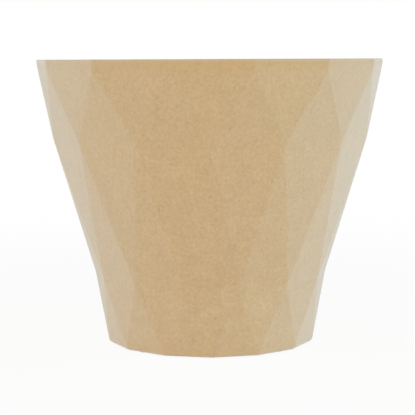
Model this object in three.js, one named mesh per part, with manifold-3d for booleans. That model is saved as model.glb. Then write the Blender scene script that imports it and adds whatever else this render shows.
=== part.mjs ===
// A fourteen-sided plant pot, moulded in one piece of fibre composite, with a rubber plug in its
// drain hole and four rubber feet under it. Its facets are rows of kites, staggered by half a side.
// Millimetres, +Z up. The origin is on the pot's axis, on the surface that the feet stand on.

import * as THREE from 'three';
import { mergeVertices } from 'three/addons/utils/BufferGeometryUtils.js';
import Module from 'manifold-3d';

// Outside of the pot: a radius runs from the axis to a corner, and a stage is a height
const sideCount = 14;
const rimRadius = 77.2;
const waistRadius = 51.74;
const baseRadius = 46.4;
const upperStage = 34.5; // rim down to the shoulder corners
const middleStage = 60.5; // shoulder down to the waist corners
const lowerStage = 29.4; // waist down to the base corners
const kiteTopDrop = 4.2; // rim down to the top of the upper kites
const rimChamfer = 0.5;
const baseChamfer = 0.9; // base corners down to the foot ring

// Wall, floor and underside of the pot
const wall = 3;
const floorThickness = 4;
const floorChamfer = 3; // where the wall meets the floor inside
const recessRadius = 34; // hollow inside the foot ring
const recessDepth = 2;

// Drain hole and its plug
const drainTopRadius = 7;
const drainBottomRadius = 6.4;
const plugClearance = 0.3;
const plugReach = 0.8; // below the drain hole, inside the recess
const flangeRadius = 12;
const flangeThickness = 1.8;
const flangeRounding = 0.6;
const neckRadius = 3;
const neckHeight = 3.2;
const knobRadius = 5.5;
const knobHeight = 4;

// Feet in their pockets under the foot ring
const footCount = 4;
const footRadius = 3.5;
const footHeight = 1.6;
const footStand = 0.6; // what shows of a foot under the foot ring
const footClearance = 0.3;
const footRounding = 0.2;

// Materials
const fibreColour = 0xc8aa7e;
const rubberColour = 0x4a4540;

// How finely the round pieces are cut, and how far a cutter runs on past what it cuts
const roundSegments = 48;
const cornerSegments = 6;
const overrun = 2;

// Derived angles and heights
const stepAngle = (2 * Math.PI) / sideCount;
const flatRatio = Math.cos(stepAngle / 2); // a flat's distance from the axis, for a corner at 1
const heelHeight = footStand;
const baseHeight = heelHeight + baseChamfer;
const waistHeight = baseHeight + lowerStage;
const shoulderHeight = waistHeight + middleStage;
const rimHeight = shoulderHeight + upperStage;
const recessTop = heelHeight + recessDepth;
const floorTop = recessTop + floorThickness;

const wasm = await Module();
wasm.setup();

// A closed geometry as a solid that can be joined and cut
function toSolid(geometry) {
  geometry.deleteAttribute('normal');
  geometry.deleteAttribute('uv');
  const merged = mergeVertices(geometry);
  return new wasm.Manifold(new wasm.Mesh({
    numProp: 3,
    vertProperties: merged.attributes.position.array,
    triVerts: Uint32Array.from(merged.index.array),
  }));
}

// A joined and cut solid as a geometry
function toGeometry(solid) {
  const mesh = solid.getMesh();
  const geometry = new THREE.BufferGeometry();
  geometry.setAttribute('position', new THREE.BufferAttribute(mesh.vertProperties, 3));
  geometry.setIndex(new THREE.BufferAttribute(mesh.triVerts, 1));
  geometry.computeVertexNormals();
  return geometry;
}

// The corners of a level ring; turn is in sides, and 0 puts a corner at the front, toward -Y
function ring(radius, height, turn) {
  const corners = [];
  for (let k = 0; k < sideCount; k += 1) {
    const angle = (k + turn) * stepAngle;
    corners.push(new THREE.Vector3(radius * Math.sin(angle), -radius * Math.cos(angle), height));
  }
  return corners;
}

// The shoulder radius that keeps each upper facet and each kite flat, from the two rings and the
// kite tops between them. Both are planes, and they meet at the kite top, so that
// rim - (rim * flatRatio - s) / flatRatio * drop = s * flatRatio + (s * flatRatio - waist) * rise.
function shoulderRadiusFor(rim, waist) {
  const drop = kiteTopDrop / upperStage;
  const rise = (upperStage - kiteTopDrop) / middleStage;
  return (rim * (1 - drop) + waist * rise) / (flatRatio * (1 + rise) - drop / flatRatio);
}

// A ring drawn in or spread out about the axis, at another height
function scaled(corners, ratio, height) {
  return corners.map((corner) => new THREE.Vector3(corner.x * ratio, corner.y * ratio, height));
}

// The corners of the form's section at a height in the lower stage, two for each base corner: they
// are on the folds that climb from there to the waist corners beside it, and coincide at its height
function lowerSection(bases, waists, height) {
  const climb = (height - baseHeight) / lowerStage;
  return bases.flatMap((corner, k) => {
    const before = waists[(k + sideCount - 1) % sideCount];
    return [corner.clone().lerp(before, climb), corner.clone().lerp(waists[k], climb)];
  });
}

// The pot's faceted form as one closed body, with its corners moved inward by inset. It begins at the
// heel, with a chamfer there, and ends at the rim, where rimStep narrows or widens it by 45 degrees.
// A runOn carries it straight on above the rim.
function facetedForm({ inset, heel, heelChamfer, rimStep, runOn }) {
  const rim = rimRadius - inset;
  const waist = waistRadius - inset;
  const shoulder = shoulderRadiusFor(rim, waist);
  const kiteTop = rim - ((rim * flatRatio - shoulder) / flatRatio) * (kiteTopDrop / upperStage);
  const edge = rim - (rim - kiteTop) * (Math.abs(rimStep) / kiteTopDrop);

  const edges = ring(edge, rimHeight - Math.abs(rimStep), 0.5);
  const crowns = scaled(edges, 1 + rimStep / (edge * flatRatio), rimHeight);
  const tops = ring(kiteTop, rimHeight - kiteTopDrop, 0.5);
  const shoulders = ring(shoulder, shoulderHeight, 0);
  const waists = ring(waist, waistHeight, 0.5);
  const bases = ring(baseRadius - inset, baseHeight, 0);
  const ankles = lowerSection(bases, waists, heel + heelChamfer);
  const ankleRadius = Math.hypot(ankles[0].x, ankles[0].y);
  const heels = scaled(ankles, 1 - heelChamfer / ankleRadius, heel);
  const upperRings = [edges, crowns];
  if (runOn > 0) {
    upperRings.push(scaled(crowns, 1, rimHeight + runOn));
  }

  const positions = [];
  const triangle = (a, b, c) => {
    const hasArea = !a.equals(b) && !b.equals(c) && !c.equals(a);
    if (hasArea) {
      positions.push(...a, ...b, ...c);
    }
  };
  const facet = (first, ...others) => {
    for (let i = 1; i < others.length; i += 1) {
      triangle(first, others[i - 1], others[i]);
    }
  };
  const band = (lower, upper) => lower.forEach((corner, k) => {
    const next = (k + 1) % lower.length;
    facet(corner, lower[next], upper[next], upper[k]);
  });
  band(heels, ankles);
  facet(...heels.slice().reverse());
  for (let k = 0; k < sideCount; k += 1) {
    const before = (k + sideCount - 1) % sideCount;
    const after = (k + 1) % sideCount;
    facet(shoulders[k], tops[k], edges[k], edges[before], tops[before]);
    facet(waists[k], shoulders[after], tops[k], shoulders[k]);
    facet(shoulders[k], waists[before], waists[k]);
    facet(ankles[2 * k], ankles[2 * k + 1], waists[k], waists[before]);
    facet(ankles[2 * k + 1], ankles[2 * after], waists[k]);
  }
  for (let i = 1; i < upperRings.length; i += 1) {
    band(upperRings[i - 1], upperRings[i]);
  }
  facet(...upperRings.at(-1));
  const geometry = new THREE.BufferGeometry();
  geometry.setAttribute('position', new THREE.BufferAttribute(new Float32Array(positions), 3));
  return toSolid(geometry);
}

// An upright round frustum between two heights
function frustum(lowRadius, highRadius, low, high, segments = roundSegments) {
  const geometry = new THREE.CylinderGeometry(highRadius, lowRadius, high - low, segments);
  geometry.rotateX(Math.PI / 2);
  geometry.translate(0, 0, (low + high) / 2);
  return toSolid(geometry);
}

// The feet stand on a circle in the middle of the foot ring's flat
function footPlaces() {
  const ringOuter = (baseRadius - baseChamfer) * flatRatio;
  const circle = (recessRadius + ringOuter) / 2;
  const places = [];
  for (let k = 0; k < footCount; k += 1) {
    const angle = ((k + 0.5) * 2 * Math.PI) / footCount;
    places.push(new THREE.Vector3(circle * Math.sin(angle), -circle * Math.cos(angle), 0));
  }
  return places;
}

// The moulded pot: outside, less the hollow, the drain hole, the recess and the foot pockets
function potShell() {
  const outside = facetedForm({
    inset: 0, heel: heelHeight, heelChamfer: baseChamfer, rimStep: -rimChamfer, runOn: 0,
  });
  const hollow = facetedForm({
    inset: wall / flatRatio, heel: floorTop, heelChamfer: floorChamfer, rimStep: rimChamfer, runOn: overrun,
  });
  const drain = frustum(drainBottomRadius, drainTopRadius, recessTop, floorTop);
  const drainTop = frustum(drainTopRadius, drainTopRadius, floorTop, floorTop + overrun);
  const recess = frustum(recessRadius, recessRadius, heelHeight - overrun, recessTop, roundSegments * 2);
  let shell = outside.subtract(hollow).subtract(recess).subtract(drain.add(drainTop));
  const pocketRadius = footRadius + footClearance;
  for (const place of footPlaces()) {
    const pocket = frustum(pocketRadius, pocketRadius, -overrun, footHeight);
    shell = shell.subtract(pocket.translate([place.x, place.y, 0]));
  }
  return toGeometry(shell);
}

// A solid of revolution about the Z axis, from a profile of [radius, height] points
function turned(profile) {
  const points = profile.map(([radius, height]) => new THREE.Vector2(radius, height));
  const geometry = new THREE.LatheGeometry(points, roundSegments);
  geometry.rotateX(Math.PI / 2);
  return toGeometry(toSolid(geometry));
}

// Points of a quarter round in a profile, about a centre, from one angle to another
function roundedCorner(radius, height, rounding, fromAngle, toAngle) {
  const points = [];
  for (let i = 0; i <= cornerSegments; i += 1) {
    const angle = fromAngle + ((toAngle - fromAngle) * i) / cornerSegments;
    points.push([radius + rounding * Math.cos(angle), height + rounding * Math.sin(angle)]);
  }
  return points;
}

// The plug: a tapered stem in the drain hole, a flange on the floor, and a knob to pull it by
function drainPlug() {
  const taper = (drainTopRadius - drainBottomRadius) / floorThickness;
  const stemTop = drainTopRadius - plugClearance;
  const stemTip = stemTop - taper * (floorThickness + plugReach);
  const flangeTop = floorTop + flangeThickness;
  const knobLow = flangeTop + neckHeight;
  const knobRounding = knobHeight / 2;
  return turned([
    [0, recessTop - plugReach],
    [stemTip, recessTop - plugReach],
    [stemTop, floorTop],
    [flangeRadius, floorTop],
    ...roundedCorner(flangeRadius - flangeRounding, flangeTop - flangeRounding, flangeRounding, 0, Math.PI / 2),
    [neckRadius, flangeTop],
    [neckRadius, knobLow],
    ...roundedCorner(knobRadius - knobRounding, knobLow + knobRounding, knobRounding, -Math.PI / 2, Math.PI / 2),
    [0, knobLow + knobHeight],
  ]);
}

// A foot: a short round pad with a small rounding at its lower edge
function footPad() {
  return turned([
    [0, 0],
    ...roundedCorner(footRadius - footRounding, footRounding, footRounding, -Math.PI / 2, 0),
    [footRadius, footHeight],
    [0, footHeight],
  ]);
}

// Name a geometry as a piece with its own material
function piece(name, geometry, colour, roughness) {
  const material = new THREE.MeshStandardMaterial({ color: colour, roughness, metalness: 0 });
  const mesh = new THREE.Mesh(geometry, material);
  mesh.name = name;
  return mesh;
}

const plantPot = new THREE.Group();
plantPot.add(piece('pot_shell', potShell(), fibreColour, 0.7));
plantPot.add(piece('drain_plug', drainPlug(), rubberColour, 0.8));
footPlaces().forEach((place, k) => {
  const foot = piece(`foot_pad_${k + 1}`, footPad(), rubberColour, 0.8);
  foot.position.copy(place);
  plantPot.add(foot);
});

export default plantPot;
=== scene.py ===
"""Looks of a faceted plant pot: a moulded fibre shell, a rubber drain plug and rubber feet."""

import math

import bmesh
import bpy
from mathutils import Matrix, Vector


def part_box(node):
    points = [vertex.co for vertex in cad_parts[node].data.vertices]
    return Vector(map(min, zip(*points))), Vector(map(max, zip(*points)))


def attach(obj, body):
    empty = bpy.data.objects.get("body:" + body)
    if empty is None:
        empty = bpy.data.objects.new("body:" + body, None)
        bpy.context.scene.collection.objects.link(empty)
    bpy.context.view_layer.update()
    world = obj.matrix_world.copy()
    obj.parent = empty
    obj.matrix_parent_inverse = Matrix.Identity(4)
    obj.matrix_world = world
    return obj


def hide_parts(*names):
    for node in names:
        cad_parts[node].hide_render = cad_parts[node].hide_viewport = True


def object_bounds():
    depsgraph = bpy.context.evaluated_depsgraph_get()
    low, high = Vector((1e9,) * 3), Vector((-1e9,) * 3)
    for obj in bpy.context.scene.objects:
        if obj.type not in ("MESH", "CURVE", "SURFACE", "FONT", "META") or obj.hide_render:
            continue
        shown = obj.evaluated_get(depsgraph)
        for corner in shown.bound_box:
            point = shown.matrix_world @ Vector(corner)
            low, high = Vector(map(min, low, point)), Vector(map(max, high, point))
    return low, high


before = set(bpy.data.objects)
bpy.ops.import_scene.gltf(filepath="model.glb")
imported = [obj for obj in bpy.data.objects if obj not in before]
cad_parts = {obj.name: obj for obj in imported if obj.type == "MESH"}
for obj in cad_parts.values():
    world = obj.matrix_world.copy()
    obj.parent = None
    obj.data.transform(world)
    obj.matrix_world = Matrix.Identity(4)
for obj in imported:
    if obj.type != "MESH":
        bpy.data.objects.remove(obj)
cad_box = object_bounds()

# Lengths are in metres, as in the frame
MM = 0.001

# The photograph's frame and its camera: the photograph is square, and the camera is level with the rim
PHOTO_SIDE = 415
SENSOR = 36.0
FOCAL_PIXELS = 1411.9
CAMERA_DISTANCE = 630.7 * MM
CAMERA_ASIDE = -1.2 * MM
CAMERA_PITCH = math.radians(6.006)
CAMERA_ROLL = math.radians(-0.241)
CAMERA_SWING = math.radians(-0.17)
NEAREST_SEEN = 10 * MM

# Colours, as sRGB
FIBRE_TAN = (194, 160, 111)
FIBRE_WARM = (197, 160, 110)
FIBRE_PALE = (210, 178, 130)
FIBRE_DARK = (169, 136, 90)
# Painted shade: a deeper tan laid on towards the rim's top and towards the base
PAINTED_SHADE_DEEP = (188, 150, 88)
# Painted shade: a greyer, darker tan laid on the upper part
UPPER_PAINTED_SHADE = (168, 147, 111)
# Painted reflection: a pale tint laid on below the waist for the floor's light
PAINTED_FLOOR_REFLECTION = (234, 246, 234)
# Painted sheen: a pale grey laid on the rim's rounded edge
RIM_PAINTED_SHEEN = (208, 216, 218)
SPECK_BROWN = (147, 113, 74)
RUBBER_GREY = (74, 69, 64)
RUBBER_WORN = (98, 93, 87)
FLOOR_GREY = (249, 249, 249)
WHITE = (1, 1, 1, 1)

# The sizes of the patterns, as noise cells in a metre
MOTTLE_SCALE = 150.0
TINT_SCALE = 170.0
GRAIN_SCALE = 700.0
SPECK_SCALE = 520.0
SWAY_SCALE = 180.0
BLOOM_SCALE = 260.0
RUBBER_GRAIN_SCALE = 3200.0

# The part of a noise's range over which a pattern goes from nothing to full
NOISE_MIDDLE = (0.3, 0.7)
GRAIN_MIDDLE = (0.32, 0.68)
BLOOM_CRESTS = (0.45, 0.75)

# How much of its tone each pattern brings, at most, and how much the mottling varies the painted shade
# and light laid on by height
MOTTLE_SHARE = 0.36
GRAIN_SHARE = 0.48
FIBRE_SHARE = 0.3
SPECK_SHARE = 0.34
BLOOM_SHARE = 0.5
PATCHINESS = (0.7, 1.3)

# How far the grain and the pale fibres stand out, against each other
GRAIN_RELIEF = 0.6
FIBRE_RELIEF = 0.25

# Roughness, from the lows to the highs of the grain or the bloom
FIBRE_ROUGHNESS = (0.53, 0.64)
RUBBER_ROUGHNESS = (0.55, 0.72)

# Specks: where a dot is full and where it ends, as shares of a cell, and which draws of a cell show one
SPECK_REACH = (0.18, 0.34)
SPECK_DRAWS = (0.86, 0.92)

# Fibres: how each family is turned, its width and length, and how high a crest of noise has to be
PALE_FIBRES = (
    ((0.3, 0.5, 0.2), 0.4 * MM, 2.4 * MM, 0.56),
    ((1.2, 0.4, 1.7), 0.35 * MM, 2.0 * MM, 0.57),
)
DARK_FIBRES = (
    ((0.8, 1.3, 2.6), 0.4 * MM, 1.8 * MM, 0.6),
    ((2.1, 0.2, 0.9), 0.35 * MM, 1.6 * MM, 0.61),
)
FIBRE_SWAY = 4 * MM
CREST_SOFTNESS = 0.08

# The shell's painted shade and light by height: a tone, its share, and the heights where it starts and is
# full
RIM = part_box("pot_shell")[1].z
HEIGHT_TONES = (
    # Painted shade, greyer and darker over the upper part
    (UPPER_PAINTED_SHADE, 0.12, RIM - 42 * MM, RIM - 22 * MM),
    # Painted shade, deeper towards the rim's top
    (PAINTED_SHADE_DEEP, 0.32, RIM - 6.4 * MM, RIM - 1.9 * MM),
    # Painted shade, deeper towards the base where the pot meets the floor
    (PAINTED_SHADE_DEEP, 0.32, 8 * MM, 1.5 * MM),
    # Painted reflection of the floor's light, paler below the waist
    (PAINTED_FLOOR_REFLECTION, 0.03, 33 * MM, 28 * MM),
    # Painted sheen on the rim's rounded edge
    (RIM_PAINTED_SHEEN, 0.08, RIM - 1.3 * MM, RIM - 0.8 * MM),
)

# The plug, from the tip of its stem to the dish in the top of its knob
PLUG_LOWEST, PLUG_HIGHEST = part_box("drain_plug")
PLUG_SEGMENTS = 96
STEM_TIP_RADIUS = 5.98 * MM
STEM_TOP_RADIUS = 6.68 * MM
STEM_SLANT = 8  # degrees off upright, rounded
TIP_ROUNDING = 0.4 * MM
HOLLOW_RADIUS = 3.6 * MM
HOLLOW_DEPTH = 0.7 * MM
HOLLOW_EDGE = 0.6 * MM
FLANGE_RADIUS = PLUG_HIGHEST.x
FLANGE_THICKNESS = 1.8 * MM
FLANGE_ROUNDING = 0.6 * MM
FLANGE_BEVEL = 0.1 * MM
GROOVE_PLACE = 9.9 * MM
GROOVE_DEPTH = 0.45 * MM
NECK_RADIUS = 3 * MM
NECK_HEIGHT = 3.2 * MM
NECK_FILLET = 1 * MM
KNOB_FILLET = 0.5 * MM
KNOB_RADIUS = 5.5 * MM
KNOB_HEIGHT = 4 * MM
DISH = ((2.9 * MM, 0.1 * MM), (2 * MM, 0.3 * MM), (1 * MM, 0.4 * MM), (0, 0.43 * MM))  # radius and depth

# The shell's edges, by the angle that they turn through, and how wide each kind is rounded
FOLD_ANGLE = math.radians(8.5)
CORNER_ANGLE = math.radians(30)
HOLE_ANGLE = math.radians(75)
FOLD_ROUNDING = 0.7 * MM
CORNER_ROUNDING = 0.4 * MM
INNER_CORNER_ROUNDING = 1.5 * MM
RECESS_ROUNDING = 0.35 * MM
ROUNDING_SEGMENTS = 4
FLAT_ANGLE = math.radians(0.5)
WELD = 0.001 * MM

# Where those edges are: the top of the pot's floor, the chamfer above it, and the recess underneath
FLOOR_TOP = PLUG_HIGHEST.z - KNOB_HEIGHT - NECK_HEIGHT - FLANGE_THICKNESS
FLOOR_CHAMFER = 3 * MM
RECESS_RADIUS = 34 * MM
SLACK = 1 * MM
LONG_EDGE = 2 * MM  # the recess has longer edges than this, the drain hole and the pockets shorter ones

# The floor: how much of it glows white near the pot, and from where to where it turns white
FLOOR_RADIUS = 3.0
FLOOR_SEGMENTS = 96
FLOOR_GLOW = 0.92
FLOOR_FADE_START = 0.12
FLOOR_FADE_END = 0.6

# The lamps: name, azimuth from the front toward the right and elevation in degrees, power and colour
WORLD_STRENGTH = 0.366
LAMP_DISTANCE = 1.3
LAMP_SIZE = 0.9
LAMPS = (
    ("softbox_left", -75, 15, 3.6, (0.99, 1.0, 0.83)),
    ("softbox_right", 75, 15, 5.3, (0.76, 1.0, 1.04)),
    ("softbox_front", 0, 20, 7.24, (1.05, 1.0, 0.83)),
    ("softbox_back_left", -135, 25, 0.8, (1.0, 1.0, 1.0)),
    ("softbox_back_right", 135, 25, 0.8, (1.0, 1.0, 1.0)),
)


def linear(colour):
    """An sRGB colour of three bytes as linear RGBA."""
    def channel(byte):
        value = byte / 255
        return value / 12.92 if value <= 0.04045 else ((value + 0.055) / 1.055) ** 2.4
    return tuple(channel(byte) for byte in colour) + (1.0,)


class Graph:
    """A small helper for writing the nodes of a material or a world."""

    def __init__(self, owner):
        owner.use_nodes = True
        self.owner = owner
        self.tree = owner.node_tree
        self.tree.nodes.clear()

    def feed(self, socket, value):
        if isinstance(value, bpy.types.NodeSocket):
            self.tree.links.new(value, socket)
        else:
            socket.default_value = value

    def node(self, kind, inputs=None, **settings):
        made = self.tree.nodes.new("ShaderNode" + kind)
        for key, value in settings.items():
            setattr(made, key, value)
        for key, value in (inputs or {}).items():
            self.feed(made.inputs[key], value)
        return made

    def math(self, operation, first, second):
        return self.node("Math", {0: first, 1: second}, operation=operation).outputs[0]

    def vector_math(self, operation, first, second):
        made = self.node("VectorMath", {0: first, 1: second}, operation=operation)
        return made.outputs["Vector"]

    def noise(self, vector, scale, detail, roughness=0.5):
        made = self.node("TexNoise", {
            "Vector": vector, "Scale": scale, "Detail": detail, "Roughness": roughness,
        })
        return made.outputs["Fac"]

    def band(self, value, low, high, start=0.0, end=1.0):
        """A smooth step of value from start, at low, to end, at high."""
        made = self.node("MapRange", {
            "Value": value, "From Min": low, "From Max": high, "To Min": start, "To Max": end,
        }, interpolation_type="SMOOTHSTEP")
        return made.outputs["Result"]

    def blend(self, share, first, second):
        """The first colour with a share of the second in it."""
        made = self.node("Mix", data_type="RGBA")
        for name, value in (("Factor_Float", share), ("A_Color", first), ("B_Color", second)):
            self.feed(next(s for s in made.inputs if s.identifier == name), value)
        return next(s for s in made.outputs if s.identifier == "Result_Color")

    def object_position(self):
        return self.node("TexCoord").outputs["Object"]

    def seen_by(self, *rays):
        """One for the kinds of ray that are named, and zero for all others."""
        path = self.node("LightPath")
        seen = path.outputs[rays[0]]
        for ray in rays[1:]:
            seen = self.math("MAXIMUM", seen, path.outputs[ray])
        return seen

    def finish(self, surface, output="OutputMaterial"):
        self.tree.links.new(surface, self.node(output).inputs["Surface"])
        return self.owner


def fibres(graph, position, turn, width, length, crest):
    """Short fibres lying one way: a noise drawn out along the turned X axis, cut to its crests."""
    bend = graph.node("TexNoise", {"Vector": position, "Scale": SWAY_SCALE, "Detail": 1.0})
    swayed = graph.vector_math("MULTIPLY", bend.outputs["Color"], (FIBRE_SWAY,) * 3)
    moved = graph.vector_math("ADD", position, swayed)
    turning = {"Vector": moved, "Rotation": turn}
    lying = graph.node("VectorRotate", turning, rotation_type="EULER_XYZ").outputs["Vector"]
    drawn = graph.vector_math("MULTIPLY", lying, (1 / length, 1 / width, 1 / width))
    crests = graph.noise(drawn, scale=1.0, detail=1.0)
    return graph.band(crests, crest, crest + CREST_SOFTNESS)


def crossed_fibres(graph, position, families):
    first, second = [fibres(graph, position, *family) for family in families]
    return graph.math("MAXIMUM", first, second)


def specks(graph, position):
    """Small round dots in a few of many cells."""
    cells = graph.node("TexVoronoi", {"Vector": position, "Scale": SPECK_SCALE, "Randomness": 1.0})
    draw = graph.node("SeparateColor", {"Color": cells.outputs["Color"]}).outputs["Red"]
    dot = graph.band(cells.outputs["Distance"], *SPECK_REACH, 1.0, 0.0)
    return graph.math("MULTIPLY", dot, graph.band(draw, *SPECK_DRAWS))


def fibre_composite():
    """Moulded plant fibre and resin: tan, matte, mottled, with fine fibres and a few dark specks, and
    with painted shade and painted reflections laid on by height.
    """
    graph = Graph(bpy.data.materials.new("fibre_composite"))
    position = graph.object_position()
    height = graph.node("SeparateXYZ", {"Vector": position}).outputs["Z"]
    mottle = graph.noise(position, MOTTLE_SCALE, detail=2.0, roughness=0.6)
    tint = graph.noise(position, TINT_SCALE, detail=2.0)
    grain = graph.noise(position, GRAIN_SCALE, detail=3.0, roughness=0.6)
    pales = crossed_fibres(graph, position, PALE_FIBRES)
    darks = crossed_fibres(graph, position, DARK_FIBRES)

    colour = graph.blend(graph.band(tint, *NOISE_MIDDLE), linear(FIBRE_TAN), linear(FIBRE_WARM))
    colour = graph.blend(graph.band(mottle, *NOISE_MIDDLE, 0.0, MOTTLE_SHARE), colour, linear(FIBRE_PALE))
    colour = graph.blend(graph.band(grain, *GRAIN_MIDDLE, 0.0, GRAIN_SHARE), colour, linear(FIBRE_DARK))
    marks = (
        (pales, FIBRE_SHARE, FIBRE_PALE),
        (darks, FIBRE_SHARE, FIBRE_DARK),
        (specks(graph, position), SPECK_SHARE, SPECK_BROWN),
    )
    for mark, share, tone in marks:
        colour = graph.blend(graph.math("MULTIPLY", mark, share), colour, linear(tone))
    patchy = graph.band(mottle, *NOISE_MIDDLE, *PATCHINESS)
    # Painted shade and light: tones laid on by height, varied by the mottling
    for tone, share, start, full in HEIGHT_TONES:
        reach = graph.math("MULTIPLY", graph.band(height, start, full, 0.0, share), patchy)
        colour = graph.blend(reach, colour, linear(tone))

    raised = graph.math("MULTIPLY", grain, GRAIN_RELIEF)
    relief = graph.math("ADD", raised, graph.math("MULTIPLY", pales, FIBRE_RELIEF))
    bump = graph.node("Bump", {"Strength": 0.2, "Distance": 0.05 * MM, "Height": relief})
    shader = graph.node("BsdfPrincipled", {
        "Base Color": colour, "Roughness": graph.band(grain, *NOISE_MIDDLE, *FIBRE_ROUGHNESS),
        "Normal": bump.outputs["Normal"], "Sheen Weight": 1.0, "Sheen Roughness": 0.67,
        "Specular IOR Level": 0.1, "IOR": 1.5,
    })
    return graph.finish(shader.outputs["BSDF"])


def rubber(name):
    """Matte moulded rubber with a faint bloom and fine moulded grain."""
    graph = Graph(bpy.data.materials.new(name))
    position = graph.object_position()
    bloom = graph.noise(position, BLOOM_SCALE, detail=3.0, roughness=0.6)
    grain = graph.noise(position, RUBBER_GRAIN_SCALE, detail=2.0)
    worn = graph.band(bloom, *BLOOM_CRESTS, 0.0, BLOOM_SHARE)
    colour = graph.blend(worn, linear(RUBBER_GREY), linear(RUBBER_WORN))
    bump = graph.node("Bump", {"Strength": 0.3, "Distance": 0.03 * MM, "Height": grain})
    shader = graph.node("BsdfPrincipled", {
        "Base Color": colour, "Roughness": graph.band(bloom, *NOISE_MIDDLE, *RUBBER_ROUGHNESS),
        "Normal": bump.outputs["Normal"],
    })
    return graph.finish(shader.outputs["BSDF"])


def show_with(piece, material):
    piece.data.materials.clear()
    piece.data.materials.append(material)


def object_from(mesh, name):
    """A new object in the scene that has this mesh."""
    data = bpy.data.meshes.new(name)
    mesh.to_mesh(data)
    mesh.free()
    piece = bpy.data.objects.new(name, data)
    bpy.context.scene.collection.objects.link(piece)
    return piece


def stand_in(piece, material, body, node):
    """Show a piece in place of a node, on that node's body."""
    show_with(piece, material)
    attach(piece, body)
    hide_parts(node)


def rounding_of(edge):
    """How wide an edge of the shell is rounded: nothing for flats, round walls and the small holes."""
    angle = edge.calc_face_angle()
    low, high = sorted(corner.co.z for corner in edge.verts)
    if angle > HOLE_ANGLE:
        middle = (edge.verts[0].co + edge.verts[1].co) / 2
        on_recess = middle.xy.length > RECESS_RADIUS - SLACK and edge.calc_length() > LONG_EDGE
        return RECESS_ROUNDING if on_recess else 0.0
    if angle > CORNER_ANGLE:
        inside = FLOOR_TOP - SLACK < low and high < FLOOR_TOP + FLOOR_CHAMFER + SLACK
        return INNER_CORNER_ROUNDING if inside else CORNER_ROUNDING
    return FOLD_ROUNDING if angle > FOLD_ANGLE else 0.0


def finished_shell(material):
    """The shell with its triangles joined into whole facets and its edges rounded as moulded."""
    mesh = bmesh.new()
    mesh.from_mesh(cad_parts["pot_shell"].data)
    bmesh.ops.remove_doubles(mesh, verts=mesh.verts, dist=WELD)
    bmesh.ops.dissolve_limit(mesh, angle_limit=FLAT_ANGLE, verts=mesh.verts, edges=mesh.edges)
    weights = mesh.edges.layers.float.new("bevel_weight_edge")
    for edge in mesh.edges:
        rounding = rounding_of(edge)
        edge[weights] = rounding / INNER_CORNER_ROUNDING
        edge.smooth = rounding > 0 or edge.calc_face_angle() < HOLE_ANGLE
    for face in mesh.faces:
        face.smooth = True
    piece = object_from(mesh, "pot_shell_finished")
    rounded = piece.modifiers.new("rounded_edges", "BEVEL")
    rounded.limit_method = "WEIGHT"
    rounded.width = INNER_CORNER_ROUNDING
    rounded.segments = ROUNDING_SEGMENTS
    rounded.use_clamp_overlap = False
    rounded.harden_normals = True
    stand_in(piece, material, "pot", "pot_shell")


def arc(radius, height, rounding, start, end):
    """Points of a round in a profile, about a centre, from one angle to another, in degrees."""
    points = []
    for step in range(ROUNDING_SEGMENTS + 1):
        angle = math.radians(start + (end - start) * step / ROUNDING_SEGMENTS)
        points.append((radius + rounding * math.cos(angle), height + rounding * math.sin(angle)))
    return points


def turned(name, profile, segments):
    """A closed solid of revolution about the Z axis, from a profile of radii and heights."""
    mesh = bmesh.new()
    rings = []
    for radius, height in profile:
        ring = []
        for k in range(segments if radius else 1):
            angle = 2 * math.pi * k / segments
            ring.append(mesh.verts.new((radius * math.cos(angle), radius * math.sin(angle), height)))
        rings.append(ring)
    for low, high in zip(rings, rings[1:]):
        for k in range(segments):
            around = [low[k % len(low)], low[(k + 1) % len(low)]]
            around += [high[(k + 1) % len(high)], high[k % len(high)]]
            mesh.faces.new(list(dict.fromkeys(around))).smooth = True
    bmesh.ops.recalc_face_normals(mesh, faces=mesh.faces)
    for edge in mesh.edges:
        edge.smooth = edge.calc_face_angle() < CORNER_ANGLE
    return object_from(mesh, name)


def finished_plug(material):
    """The plug with its fillets, the sealing groove round its flange, and the hollows in both ends."""
    low = PLUG_LOWEST.z
    high = PLUG_HIGHEST.z
    flange_top = FLOOR_TOP + FLANGE_THICKNESS
    knob_low = flange_top + NECK_HEIGHT
    knob_round = KNOB_HEIGHT / 2
    profile = [(0, low + HOLLOW_DEPTH), (HOLLOW_RADIUS, low + HOLLOW_DEPTH)]
    profile += [(HOLLOW_RADIUS + HOLLOW_EDGE, low + HOLLOW_DEPTH - HOLLOW_EDGE)]
    profile += arc(STEM_TIP_RADIUS - TIP_ROUNDING, low + TIP_ROUNDING, TIP_ROUNDING, -90, -STEM_SLANT)
    profile += [(STEM_TOP_RADIUS, FLOOR_TOP), (FLANGE_RADIUS - FLANGE_BEVEL, FLOOR_TOP)]
    profile += [(FLANGE_RADIUS, FLOOR_TOP + FLANGE_BEVEL)]
    profile += arc(FLANGE_RADIUS - FLANGE_ROUNDING, flange_top - FLANGE_ROUNDING, FLANGE_ROUNDING, 0, 90)
    profile += arc(GROOVE_PLACE, flange_top, GROOVE_DEPTH, 0, -180)
    profile += arc(NECK_RADIUS + NECK_FILLET, flange_top + NECK_FILLET, NECK_FILLET, -90, -180)
    profile += arc(NECK_RADIUS + KNOB_FILLET, knob_low - KNOB_FILLET, KNOB_FILLET, 180, 90)
    profile += arc(KNOB_RADIUS - knob_round, knob_low + knob_round, knob_round, -90, 90)[1:]
    profile += [(radius, high - depth) for radius, depth in DISH]
    piece = turned("drain_plug_finished", profile, PLUG_SEGMENTS)
    stand_in(piece, material, "plug", "drain_plug")


def rubber_feet(material):
    """The feet keep their own shape."""
    for name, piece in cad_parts.items():
        if name.startswith("foot_pad"):
            show_with(piece, material)


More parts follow.
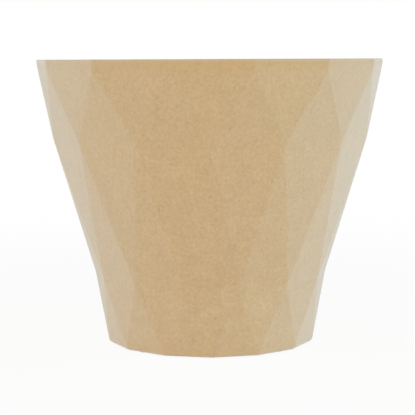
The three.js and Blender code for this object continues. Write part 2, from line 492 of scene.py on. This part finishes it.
def pale_floor():
    """A plain pale floor that keeps the pot's shadow and fades to white."""
    graph = Graph(bpy.data.materials.new("pale_floor"))
    reach = graph.node("VectorMath", {0: graph.object_position()}, operation="LENGTH").outputs["Value"]
    faded = graph.band(reach, FLOOR_FADE_START, FLOOR_FADE_END, FLOOR_GLOW, 1.0)
    share = graph.math("MULTIPLY", faded, graph.seen_by("Is Camera Ray", "Is Glossy Ray"))
    diffuse = graph.node("BsdfDiffuse", {"Color": linear(FLOOR_GREY)})
    white = graph.node("Emission", {"Color": WHITE, "Strength": 1.0})
    surface = graph.node("MixShader", {0: share, 1: diffuse.outputs[0], 2: white.outputs[0]})
    material = graph.finish(surface.outputs[0])
    bpy.ops.mesh.primitive_circle_add(vertices=FLOOR_SEGMENTS, radius=FLOOR_RADIUS, fill_type="NGON")
    floor = bpy.context.object
    floor.name = "floor"
    show_with(floor, material)


def white_world():
    """A world that the camera sees as white, and that lights the pot softly."""
    graph = Graph(bpy.data.worlds.new("studio"))
    seen = graph.seen_by("Is Camera Ray", "Is Glossy Ray", "Is Transmission Ray")
    strength = graph.node("MapRange", {"Value": seen, "To Min": WORLD_STRENGTH, "To Max": 1.0})
    background = graph.node("Background", {"Color": WHITE, "Strength": strength.outputs["Result"]})
    bpy.context.scene.world = graph.finish(background.outputs[0], "OutputWorld")


def softboxes():
    """Square lamps round the pot, all aimed at its middle."""
    middle = (cad_box[0] + cad_box[1]) / 2
    for name, azimuth, elevation, power, colour in LAMPS:
        data = bpy.data.lights.new(name, "AREA")
        data.shape = "SQUARE"
        data.size = LAMP_SIZE
        data.energy = power
        data.color = colour
        lamp = bpy.data.objects.new(name, data)
        bpy.context.scene.collection.objects.link(lamp)
        a = math.radians(azimuth)
        e = math.radians(elevation)
        away = Vector((math.sin(a) * math.cos(e), -math.cos(a) * math.cos(e), math.sin(e)))
        lamp.location = middle + away * LAMP_DISTANCE
        lamp.rotation_mode = "QUATERNION"
        lamp.rotation_quaternion = away.to_track_quat("Z", "Y")


def photo_camera():
    """The camera of the photograph, in front of the pot at the height of its rim."""
    data = bpy.data.cameras.new("photo_camera")
    data.sensor_width = SENSOR
    data.lens = SENSOR * FOCAL_PIXELS / PHOTO_SIDE
    data.clip_start = NEAREST_SEEN
    camera = bpy.data.objects.new("photo_camera", data)
    bpy.context.scene.collection.objects.link(camera)
    place = Matrix.Translation((CAMERA_ASIDE, -CAMERA_DISTANCE, RIM))
    swing = Matrix.Rotation(CAMERA_SWING, 4, "Z")
    tilt = Matrix.Rotation(math.pi / 2 - CAMERA_PITCH, 4, "X")
    roll = Matrix.Rotation(CAMERA_ROLL, 4, "Z")
    camera.matrix_world = swing @ place @ tilt @ roll
    bpy.context.scene.camera = camera


finished_shell(fibre_composite())
finished_plug(rubber("plug_rubber"))
rubber_feet(rubber("foot_rubber"))
pale_floor()
white_world()
softboxes()
photo_camera()
bpy.context.scene.view_settings.view_transform = "Standard"
